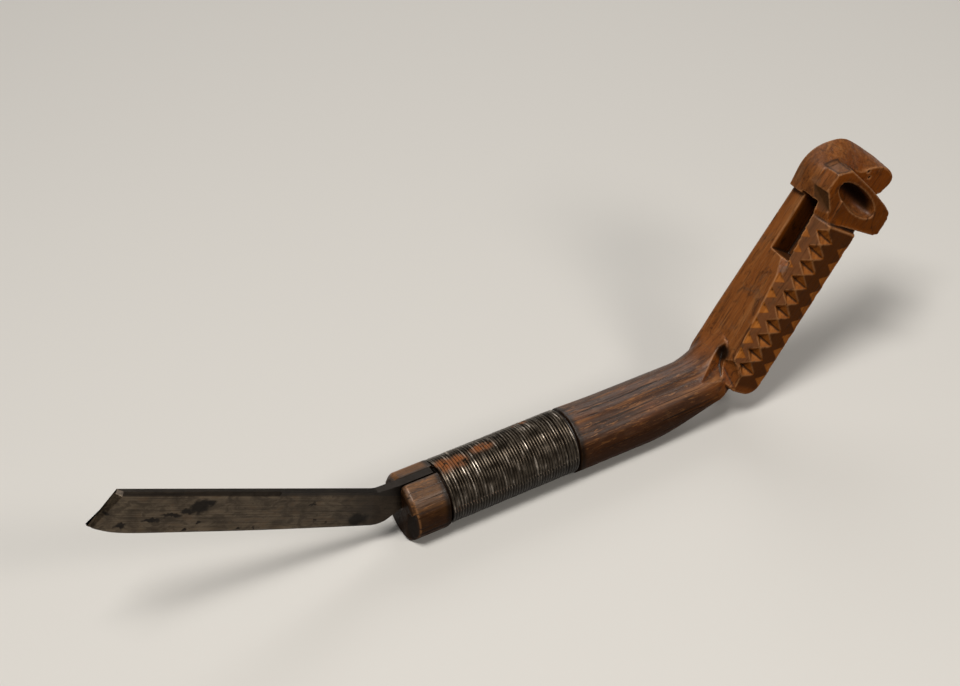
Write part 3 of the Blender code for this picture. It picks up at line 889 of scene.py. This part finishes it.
def bladeSections():  # spine point, edge point, how far into the tang, and the place along the blade
    f = bladeForm
    edge = smoothThrough(f["edgeLine"], f["edgePoints"])
    sections = []
    for share in np.linspace(0, 1, f["stations"]) ** f["crowding"]:
        s = f["length"] * (1 - share)
        low = edge[0, 0] + (edge[-1, 0] - edge[0, 0]) * share
        deep = np.interp(-low, -edge[:, 0], edge[:, 1])
        sections.append((bladeHeel + bladeAlong * s, bladeHeel + bladeAlong * low + bladeDown * deep, 0.0, s))
    heel, heelLow = bladeHeel, sections[-1][1]
    nose, wrap = shaft["noseX"], shaft["wrapEnd"]
    (nearX, nearZ), (farX, farZ) = f["neckTop"]
    top = [(heel.x, heel.z), (heel.x + nearX, heel.z + nearZ), (heel.x + farX, tangTop + farZ)]
    low = [(heelLow.x, heelLow.z)] + [(heelLow.x + x, heelLow.z + z) for x, z in f["neckLow"]]
    top = smoothThrough(top + [(nose, tangTop)], f["neckStations"])
    low = smoothThrough(low + [(nose, tang["bottom"])], f["neckStations"])
    for k in range(1, f["neckStations"]):
        spine, under = Vector((top[k][0], 0, top[k][1])), Vector((low[k][0], 0, low[k][1]))
        sections.append((spine, under, k / (f["neckStations"] - 1), 0.0))
    dipStart, dipFoot = (-wrap - run for run in tang["dipRun"])
    steps = [(nose + tang["dipRim"], tangTop), (dipStart, tangTop), (dipFoot, tangUnder + tang["dipRound"])]
    for x, z in steps + [(-wrap, tangUnder), (tang["end"], tangUnder)]:
        sections.append((Vector((x, 0, z)), Vector((x, 0, tang["bottom"])), 1.0, 0.0))
    return sections


def sectionRing(top, low, tangShare, s):
    f = bladeForm
    drop = low - top
    width = drop.length
    square = min(tangShare * f["neckSquare"], 1)  # the flat tang is as thick below as above
    half = f["spine"] / 2 + (tang["thickness"] / 2 - f["spine"] / 2) * tangShare
    thin = f["edge"] / 2 + (half - f["edge"] / 2) * square
    cut = f["chamfer"] if s > f["chamferEnd"] else 0
    slope = max(1 - (f["length"] - s) / f["endBevel"], 0)  # bevel across the skewed end
    face = [(share, half + (thin - half) * share ** f["hollowLow"]) for share in f["faceRows"]]
    face += [(1 - f["edgeBevel"] / width, thin + (half - thin) * f["edgeSwell"]), (1.0, thin)]
    near = [(0.0, half - cut * f["chamferSlope"]), ((cut + f["nearRim"]) / width, half)] + face
    far = [(0.0, half - f["farRim"][0]), (f["farRim"][1] / width, half)] + face
    rows = [(share, slope * half * f["endCut"] - y) for share, y in near] + far[::-1]
    ring = []
    for share, y in rows:
        p = top + drop * share
        ring.append((p.x, y, p.z))
    return ring


blade = skinRings("blade_steel", [sectionRing(*section) for section in bladeSections()])
blade.data.shade_smooth()
blade.data.set_sharp_from_angle(angle=bladeForm["sharp"])
spots = localSpots(blade)
relX, relZ = spots[:, 0] - bladeHeel.x, spots[:, 2] - bladeHeel.z
alongBlade = relX * bladeAlong.x + relZ * bladeAlong.z
downBlade = relX * bladeDown.x + relZ * bladeDown.z
paintVector(blade, "bladePlace", np.stack([alongBlade, downBlade, spots[:, 1]], 1) * mm)
paint(blade, "neckShare", ramp01(-alongBlade, *bladeForm["darkNeck"]))
print("blade forged", len(blade.data.polygons), "faces")

# the binding, one length of wire in close turns
binding = {
    "turns": 47,
    "diameter": 1.0,
    "outer": 11.12,
    "endGap": 0.25,
    "pointsPerTurn": 44,
    "wander": 0.03,
    "bandTurns": 4,  # the last turns stand a little apart
    "bandGap": 0.2,
    "endDips": (1.2, 2.6),  # the ends turn down into the wood
    "startDrop": 0.3,
    "endTurn": 0.05,
    "crown": (-0.55, -0.02),
}


def bindingPath():
    b = binding
    reach = shaft["wrapEnd"] - b["endGap"] - b["diameter"] / 2
    pitch = (2 * reach - b["bandGap"]) / b["turns"]
    count = b["turns"] * b["pointsPerTurn"]
    fine, whole = np.linspace(0, b["turns"], count), np.arange(b["turns"] + 1)
    wander = np.interp(fine, whole, rng.normal(0, b["wander"], len(whole)))
    lift = np.interp(fine, whole, np.abs(rng.normal(0, b["wander"], len(whole))))
    radius = b["outer"] - b["diameter"] / 2
    shallow, deep = radius - b["endDips"][0], radius - b["endDips"][1]
    path = [(-reach, deep, axisZ), (-reach, shallow, axisZ - b["startDrop"])]
    for k in range(count):
        turns = k / b["pointsPerTurn"]
        x = pitch * turns + wander[k] - reach + (b["bandGap"] if turns > b["turns"] - b["bandTurns"] else 0)
        angle, r = math.tau * turns, radius - lift[k]
        path.append((x, r * math.cos(angle), axisZ + r * math.sin(angle)))
    angle += b["endTurn"]
    for r in (shallow, deep):
        path.append((x, r * math.cos(angle), axisZ + r * math.sin(angle)))
    return path


def makeBinding():
    path = bindingPath()
    curve = bpy.data.curves.new("binding_turns", "CURVE")
    curve.dimensions = "3D"
    curve.bevel_depth = binding["diameter"] / 2 * mm
    curve.bevel_resolution = 2
    curve.use_fill_caps = True
    line = curve.splines.new("POLY")
    line.points.add(len(path) - 1)
    for point, place in zip(line.points, path):
        point.co = (*toWorld(place), 1)
    guide = bpy.data.objects.new("binding_guide", curve)
    bpy.context.scene.collection.objects.link(guide)
    bpy.context.view_layer.update()
    graph = bpy.context.evaluated_depsgraph_get()
    mesh = bpy.data.meshes.new_from_object(guide.evaluated_get(graph))
    bpy.data.objects.remove(guide)
    wound = bpy.data.objects.new("binding_turns", mesh)
    bpy.context.scene.collection.objects.link(wound)
    return wound


wound = makeBinding()
wound.data.shade_smooth()
spots = localSpots(wound)
turned = np.arctan2(spots[:, 2] - axisZ, spots[:, 1])
fromAxis = np.hypot(spots[:, 1], spots[:, 2] - axisZ)
paintVector(wound, "wrapPlace", np.stack([spots[:, 0] * mm, turned, np.zeros(len(spots))], 1))
paint(wound, "crown", ramp01(fromAxis - binding["outer"], *binding["crown"]))
print("wire wound", len(wound.data.polygons), "faces")


# materials

def newMaterial(name):
    skin = bpy.data.materials.new(name)
    skin.use_nodes = True
    tree = skin.node_tree
    return skin, tree, tree.nodes["Principled BSDF"]


def put(tree, kind, inputs=None, **props):
    node = tree.nodes.new(kind)
    for key, value in props.items():
        setattr(node, key, value)
    for key, value in (inputs or {}).items():
        socket = node.inputs[key]
        if isinstance(value, bpy.types.NodeSocket):
            tree.links.new(value, socket)
        else:
            socket.default_value = value
    return node


def attribute(tree, name, output="Fac"):
    return put(tree, "ShaderNodeAttribute", attribute_name=name).outputs[output]


def maths(tree, operation, a, b=0.5):
    return put(tree, "ShaderNodeMath", {0: a, 1: b}, operation=operation).outputs[0]


def times(tree, a, b):
    return maths(tree, "MULTIPLY", a, b)


def blend(tree, a, shareA, b, shareB):
    return maths(tree, "ADD", times(tree, a, shareA), times(tree, b, shareB))


def vectorMaths(tree, operation, a, b):
    return put(tree, "ShaderNodeVectorMath", {0: a, 1: b}, operation=operation).outputs[0]


def spread(tree, value, low, high, outLow=0.0, outHigh=1.0):
    inputs = {"Value": value, "From Min": low, "From Max": high, "To Min": outLow, "To Max": outHigh}
    return put(tree, "ShaderNodeMapRange", inputs, interpolation_type="SMOOTHSTEP").outputs[0]


def mixColour(tree, share, a, b):
    node = put(tree, "ShaderNodeMix", data_type="RGBA", clamp_factor=True)
    for key, value in ((0, share), (6, a), (7, b)):
        if isinstance(value, bpy.types.NodeSocket):
            tree.links.new(value, node.inputs[key])
        else:
            node.inputs[key].default_value = value if key == 0 else (*value, 1)
    return node.outputs[2]


def coat(tree, base, mask, share, colour):  # one of the painted masks, laid over the base
    return mixColour(tree, times(tree, attribute(tree, mask), share), base, colour)


def noise(tree, place, along, across, detail, rough, distortion=0.0, output="Fac"):  # drawn out along x
    vector = put(tree, "ShaderNodeMapping", {"Vector": place, "Scale": (along, across, across)}).outputs[0]
    inputs = {"Vector": vector, "Scale": 1.0, "Detail": detail, "Roughness": rough, "Distortion": distortion}
    return put(tree, "ShaderNodeTexNoise", inputs).outputs[output]


def spotMask(tree, vector, spots, inner, outer):  # soft ovals: centre and half sizes
    mask = None
    for across, down, long, tall in spots:
        away = vectorMaths(tree, "SUBTRACT", vector, (across, down, 0))
        away = vectorMaths(tree, "MULTIPLY", away, (1 / long, 1 / tall, 0))
        length = put(tree, "ShaderNodeVectorMath", {0: away}, operation="LENGTH").outputs["Value"]
        spot = spread(tree, length, inner, outer, 1, 0)
        mask = spot if mask is None else maths(tree, "MAXIMUM", mask, spot)
    return mask


def roughen(tree, shader, height, strength, distance):
    bump = put(tree, "ShaderNodeBump", {"Height": height, "Strength": strength, "Distance": distance})
    tree.links.new(bump.outputs[0], shader.inputs["Normal"])


woodFinish = {
    "dark": (0.030, 0.0115, 0.0050),
    "brown": (0.105, 0.038, 0.0130),
    "warm": (0.235, 0.074, 0.0150),
    "red": (0.160, 0.044, 0.0110),
    # painted warm shade for the front faces
    "nearShadeAmber": (0.190, 0.046, 0.0030),
    "flat": (0.055, 0.017, 0.0030),
    # painted shade for the leaf under the head
    "leaf": (0.050, 0.023, 0.0080),
    "fresh": (0.430, 0.150, 0.0260),
    "freshDark": (0.260, 0.080, 0.0120),
    "worn": (0.400, 0.185, 0.0720),
    "patina": (0.125, 0.067, 0.0360),
    "straw": (0.118, 0.053, 0.0170),
    "golden": (0.300, 0.125, 0.0380),
    # the dark of dirt, cracks and painted shade
    "grimeAndShade": (0.010, 0.005, 0.0025),
    # noises: scale along and across the grain, detail, roughness, distortion
    "streaks": (26, 420, 6, 0.62, 0.4),
    "fine": (90, 2400, 4, 0.6),
    "clouds": (38, 75, 5, 0.6, 0.6),
    "cracks": (14, 900, 3, 0.5, 0.3),
    "patches": (120, 120, 3, 0.6, 0.8),
    "mottle": (140, 330, 6, 0.68, 1.2),
    "flecks": (210, 1300, 4, 0.65, 0.5),
    # masks painted on the mesh: how strongly, and in which colour; the leaf and the belly masks are painted
    # shade
    "handledAndShaded": [("shadedLeaf", 0.85, "leaf"), ("belly", 0.8, "dark"), ("flats", 0.85, "flat"),
                ("chamferFlats", 0.5, "patina")],
    "diamond": [("diamond", 0.5, "patina"), ("diamondFrame", 0.75, "dark")],
    "nearShadeShare": 0.9,
    "freshShare": 0.9,
    "cornerDirtAndShadeShare": 0.85,
    "grimeAndShadeShare": 0.95,
    "polish": (0.5, 0.3),  # on the shaft and on the grip, where hands have rubbed the upper side
    "dull": 0.02,
    "roughness": (0.32, 0.52),
    "freshRough": 0.12,
    "bump": (0.4, 0.0003),
}


def handleMaterial():
    skin, tree, shader = newMaterial("worn_carved_wood")
    c = woodFinish
    place = attribute(tree, "grain", "Vector")
    looks = ("streaks", "fine", "clouds", "cracks", "patches", "mottle", "flecks")
    streaks, fine, clouds, cracks, patches, mottle, flecks = (noise(tree, place, *c[look]) for look in looks)
    gripShare = attribute(tree, "gripShare")
    nearShade = attribute(tree, "nearShade")
    upSide = attribute(tree, "upSide")
    fresh = attribute(tree, "freshCut")

    # bare wood: dark and brown streaks, warmer toward the grip
    tone = blend(tree, streaks, 0.75, clouds, 0.55)
    base = mixColour(tree, spread(tree, tone, 0.42, 0.86), c["dark"], c["brown"])
    base = mixColour(tree, spread(tree, clouds, 0.5, 0.7, 0, 0.6), base, c["red"])
    base = mixColour(tree, times(tree, spread(tree, tone, 0.38, 0.8, 0.25, 1), gripShare), base, c["warm"])
    strawShare = times(tree, attribute(tree, "noseShare"), spread(tree, tone, 0.4, 0.75))
    base = mixColour(tree, strawShare, base, c["straw"])
    # painted warm shade on the front faces
    base = mixColour(tree, times(tree, nearShade, c["nearShadeShare"]), base, c["nearShadeAmber"])

    # patches, mottling and golden streaks of long handling; the patches thin out on the front faces, and the
    # golden streaks, laid only on upward faces, are painted highlight as well as wear
    patches = times(tree, spread(tree, patches, 0.54, 0.68, 0, 0.5), spread(tree, nearShade, 0, 1, 1, 0.1))
    base = mixColour(tree, patches, base, c["patina"])
    mottle = spread(tree, mottle, 0.50, 0.68, 0, 0.75)
    base = mixColour(tree, mottle, base, c["dark"])
    base = mixColour(tree, times(tree, spread(tree, streaks, 0.50, 0.72, 0, 0.8), upSide), base, c["golden"])
    flecks = times(tree, spread(tree, flecks, 0.55, 0.68, 0, 0.75), spread(tree, gripShare, 0, 1, 1, 0.35))
    base = mixColour(tree, flecks, base, c["golden"])

    # what the knife, the hands and the dirt left, with painted shade on the belly, in the leaf under the
    # head, in the creases and in the recesses
    for mask, share, colour in c["handledAndShaded"]:
        base = coat(tree, base, mask, share, c[colour])
    cutWood = mixColour(tree, spread(tree, streaks, 0.3, 0.7), c["freshDark"], c["fresh"])
    base = mixColour(tree, times(tree, fresh, c["freshShare"]), base, cutWood)
    for mask, share, colour in c["diamond"]:
        base = coat(tree, base, mask, share, c[colour])
    rubbed = times(tree, attribute(tree, "wornEdge"), spread(tree, mottle, 0, 0.6, 0.6, 0.05))
    base = mixColour(tree, rubbed, base, c["worn"])
    # dirt and painted shade in the sunk creases
    base = coat(tree, base, "corner", c["cornerDirtAndShadeShare"], c["grimeAndShade"])
    base = mixColour(tree, spread(tree, fine, 0.53, 0.70, 0, 0.6), base, c["dark"])
    shaftShare = maths(tree, "SUBTRACT", 1.0, gripShare)
    split = times(tree, spread(tree, cracks, 0.60, 0.66, 0, 0.85), shaftShare)
    base = mixColour(tree, split, base, c["grimeAndShade"])
    # painted shade in the recesses and on the lobe, dirt by the binding
    base = coat(tree, base, "grimeAndShade", c["grimeAndShadeShare"], c["grimeAndShade"])
    tree.links.new(base, shader.inputs["Base Color"])

    rough = spread(tree, blend(tree, streaks, 0.6, fine, 0.4), 0.3, 0.7, *c["roughness"])
    rough = maths(tree, "ADD", rough, times(tree, fresh, c["freshRough"]))
    tree.links.new(rough, shader.inputs["Roughness"])
    polish = times(tree, upSide, spread(tree, gripShare, 0, 1, *c["polish"]))
    tree.links.new(maths(tree, "ADD", polish, c["dull"]), shader.inputs["Specular IOR Level"])
    height = blend(tree, fine, 0.7, streaks, 0.8)
    height = maths(tree, "SUBTRACT", height, spread(tree, cracks, 0.60, 0.68, 0, 0.8))
    roughen(tree, shader, height, *c["bump"])
    return skin


steelFinish = {
    "bare": (0.130, 0.098, 0.066),
    "brown": (0.030, 0.021, 0.013),
    "tan": (0.085, 0.052, 0.028),
    "neck": (0.016, 0.010, 0.006),
    "stain": (0.007, 0.005, 0.004),
    "spine": (0.016, 0.013, 0.011),
    # noises: scale along and across the blade, detail, roughness, distortion
    "brush": (22, 1500, 5, 0.65),
    "cloud": (95, 95, 5, 0.6, 0.6),
    "speck": (900, 900, 3, 0.6),
    "blotch": (160, 320, 6, 0.7, 1.0),
    "wobble": (420, 420, 4, 0.5),
    "wobbleReach": 4.0,
    "neckShare": 0.75,
    "stainShare": 0.9,
    "spineDown": (0.9, 1.3),
    "metallic": 0.85,
    "roughness": (0.36, 0.68),
    "bump": (0.25, 0.0002),
    "stains": [  # along from the heel, down from the spine, half length, half height, in mm
        (60.5, 5.2, 3.6, 3.2), (57.6, 3.6, 2.2, 1.6), (64.0, 7.2, 2.6, 1.4), (69.5, 8.6, 4.0, 0.9),
        (75.5, 10.4, 3.4, 0.8), (84.6, 12.4, 1.9, 0.9), (90.8, 7.9, 0.8, 0.6), (59.1, 10.9, 0.8, 0.6),
        (62.9, 14.4, 1.0, 0.5), (43.9, 13.8, 0.9, 0.6), (38.9, 13.9, 0.8, 0.5), (21.2, 4.5, 1.4, 0.5),
        (21.2, 4.5, 0.5, 1.3), (17.6, 11.6, 0.8, 0.7), (13.7, 12.4, 0.8, 0.7), (1.5, 11.0, 4.0, 3.0),
    ],
}


def bladeMaterial():
    skin, tree, shader = newMaterial("patinated_blade_steel")
    c = steelFinish
    place = attribute(tree, "bladePlace", "Vector")
    looks = ("brush", "cloud", "speck", "blotch")
    brush, cloud, speck, blotch = (noise(tree, place, *c[look]) for look in looks)
    tone = blend(tree, brush, 0.6, cloud, 0.5)
    base = mixColour(tree, spread(tree, tone, 0.38, 0.72), c["brown"], c["bare"])
    base = mixColour(tree, spread(tree, blotch, 0.46, 0.62, 0, 0.7), base, c["brown"])
    base = mixColour(tree, spread(tree, blotch, 0.36, 0.46, 0.5, 0), base, c["tan"])
    base = coat(tree, base, "neckShare", c["neckShare"], c["neck"])

    # ragged stains: the place is shaken before the ovals are drawn
    wobble = noise(tree, place, *c["wobble"], output="Color")
    shift = vectorMaths(tree, "SUBTRACT", wobble, (0.5, 0.5, 0.5))
    shift = vectorMaths(tree, "MULTIPLY", shift, (c["wobbleReach"] * mm,) * 3)
    loose = vectorMaths(tree, "ADD", place, shift)
    spots = [[value * mm for value in spot] for spot in c["stains"]]
    stain = times(tree, spotMask(tree, loose, spots, 0.55, 1.2), c["stainShare"])
    stain = times(tree, stain, spread(tree, cloud, 0.3, 0.55, 0.6, 1))
    stain = maths(tree, "MAXIMUM", stain, spread(tree, speck, 0.66, 0.74, 0, 0.6))
    base = mixColour(tree, stain, base, c["stain"])
    down = put(tree, "ShaderNodeSeparateXYZ", {0: place}).outputs[1]
    spineLow, spineHigh = (value * mm for value in c["spineDown"])
    base = mixColour(tree, spread(tree, down, spineLow, spineHigh, 0.8, 0), base, c["spine"])
    tree.links.new(base, shader.inputs["Base Color"])
    shader.inputs["Metallic"].default_value = c["metallic"]
    rough = spread(tree, blend(tree, brush, 1.0, stain, 0.5), 0.3, 1.1, *c["roughness"])
    tree.links.new(rough, shader.inputs["Roughness"])
    roughen(tree, shader, blend(tree, brush, 0.5, speck, 0.5), *c["bump"])
    return skin


wireFinish = {
    "iron": (0.150, 0.122, 0.094),
    "dull": (0.036, 0.027, 0.019),
    "bright": (0.560, 0.490, 0.420),
    "grooveShade": (0.008, 0.006, 0.005),
    "lowerShade": (0.012, 0.009, 0.006),
    "rust": (0.260, 0.090, 0.030),
    # noises: scale along the shaft and round it, detail, roughness
    "spotted": (260, 3.2, 4, 0.6),
    "streak": (1100, 1.2, 2, 0.5),
    "metallic": (0.85, 0.1),  # clean and rusty
    "specular": 0.12,
    "roughness": (0.28, 0.65),
    "bump": (0.2, 0.0002),
    "rustSpots": [  # along the shaft in mm, turn round it in degrees, half length, half turn
        (-21.0, 92.0, 4.2, 18.0), (-15.8, 94.0, 3.2, 16.0), (-6.7, 86.0, 4.6, 12.0), (10.0, 60.0, 3.0, 9.0),
    ],
}


def wireMaterial():
    skin, tree, shader = newMaterial("dark_binding_wire")
    c = wireFinish
    place = attribute(tree, "wrapPlace", "Vector")
    spotted = noise(tree, place, *c["spotted"])
    streak = noise(tree, place, *c["streak"])
    tone = blend(tree, spotted, 1.0, streak, 0.8)
    base = mixColour(tree, spread(tree, tone, 0.6, 1.2), c["dull"], c["iron"])
    shine = times(tree, spread(tree, streak, 0.56, 0.66), spread(tree, spotted, 0.4, 0.6, 0.3, 1))
    base = mixColour(tree, shine, base, c["bright"])
    spots = [(a * mm, math.radians(t), long * mm, math.radians(wide)) for a, t, long, wide in c["rustSpots"]]
    rust = times(tree, spotMask(tree, place, spots, 0.3, 1.3), spread(tree, spotted, 0.33, 0.5))
    base = mixColour(tree, rust, base, c["rust"])
    turn = put(tree, "ShaderNodeSeparateXYZ", {0: place}).outputs[1]
    lower = spread(tree, maths(tree, "SINE", turn), -0.4, 1.0, 0.92, 0)  # painted shade, darker toward the belly
    base = mixColour(tree, lower, base, c["lowerShade"])
    # painted shade between the turns
    base = mixColour(tree, spread(tree, attribute(tree, "crown"), 0.0, 0.7, 0.9, 0), base, c["grooveShade"])
    tree.links.new(base, shader.inputs["Base Color"])
    metal = times(tree, spread(tree, rust, 0, 0.8, *c["metallic"]), maths(tree, "SUBTRACT", 1.0, lower))
    tree.links.new(metal, shader.inputs["Metallic"])
    shader.inputs["Specular IOR Level"].default_value = c["specular"]
    rough = spread(tree, maths(tree, "ADD", spotted, rust), 0.3, 1.2, *c["roughness"])
    tree.links.new(rough, shader.inputs["Roughness"])
    roughen(tree, shader, spotted, *c["bump"])
    return skin


handle.data.materials.clear()
handle.data.materials.append(handleMaterial())
blade.data.materials.append(bladeMaterial())
wound.data.materials.clear()
wound.data.materials.append(wireMaterial())
pieces = ((handle, "handle", "wood"), (blade, "blade", "blade_steel"), (wound, "binding_wire", "wire_steel"))
for piece, node, slot in pieces:
    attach(piece, "root")
    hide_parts(node)
print("materials on")

# stage, light and camera
stage = {
    "floor": (0.70, 0.69, 0.67),
    "bounce": (0.26, 0.25, 0.24),  # what the floor throws back onto the knife
    "size": 6.0,
    "roughness": 0.8,
    "world": (0.58, 0.56, 0.53),
    "worldStrength": 0.12,
}
lamps = [  # name, place in metres, aim, size, watts, colour
    ("key", (-0.30, -0.20, 1.05), (0.0, 0.0, 0.04), 0.35, 9.0, (1.0, 0.96, 0.90)),
    ("front", (0.35, -0.85, 0.75), (0.05, 0.0, 0.04), 0.3, 3.5, (1.0, 0.94, 0.86)),
    ("rim", (0.45, 0.80, 0.75), (0.0, 0.0, 0.04), 0.6, 2.6, (1.0, 0.97, 0.93)),
]
camera = {
    "azimuth": -27.98,
    "elevation": 39.98,
    "roll": 2.06,
    "lens": 75.0,
    "sensor": 36.0,
    "nearest": 0.01,
    "place": (-228.5, -418.4, 464.1),
}

bm = bmesh.new()
bmesh.ops.create_grid(bm, x_segments=1, y_segments=1, size=stage["size"])
floor = meshObject("floor", bm)
floorSkin, floorTree, floorShader = newMaterial("pale_floor")
rays = put(floorTree, "ShaderNodeLightPath")
seen = maths(floorTree, "MAXIMUM", rays.outputs["Is Camera Ray"], rays.outputs["Is Glossy Ray"])
seen = maths(floorTree, "MAXIMUM", seen, rays.outputs["Is Transmission Ray"])
floorColour = mixColour(floorTree, seen, stage["bounce"], stage["floor"])
floorTree.links.new(floorColour, floorShader.inputs["Base Color"])
floorShader.inputs["Roughness"].default_value = stage["roughness"]
floor.data.materials.append(floorSkin)

world = bpy.data.worlds.new("studio")
bpy.context.scene.world = world
world.use_nodes = True
sky = world.node_tree.nodes["Background"]
sky.inputs["Color"].default_value = (*stage["world"], 1)
sky.inputs["Strength"].default_value = stage["worldStrength"]

for name, place, aim, size, watts, colour in lamps:
    lamp = bpy.data.lights.new(name, "AREA")
    lamp.size = size
    lamp.energy = watts
    lamp.color = colour
    lampObject = bpy.data.objects.new(name, lamp)
    lampObject.location = place
    lampObject.rotation_euler = (Vector(aim) - Vector(place)).to_track_quat("-Z", "Y").to_euler()
    bpy.context.scene.collection.objects.link(lampObject)

az, el, roll = (math.radians(camera[k]) for k in ("azimuth", "elevation", "roll"))
back = Vector((math.sin(az) * math.cos(el), -math.cos(az) * math.cos(el), math.sin(el)))
level = Vector((0, 0, 1)).cross(back).normalized()
rise = back.cross(level)
right = level * math.cos(roll) - rise * math.sin(roll)
up = level * math.sin(roll) + rise * math.cos(roll)
cameraData = bpy.data.cameras.new("photo_view")
cameraData.lens = camera["lens"]
cameraData.sensor_width = camera["sensor"]
cameraData.clip_start = camera["nearest"]
eye = bpy.data.objects.new("photo_view", cameraData)
turn = Matrix((right, up, back)).transposed().to_4x4()
eye.matrix_world = Matrix.Translation(toWorld(camera["place"])) @ turn
bpy.context.scene.collection.objects.link(eye)
bpy.context.scene.camera = eye
bpy.context.scene.view_settings.view_transform = "Standard"
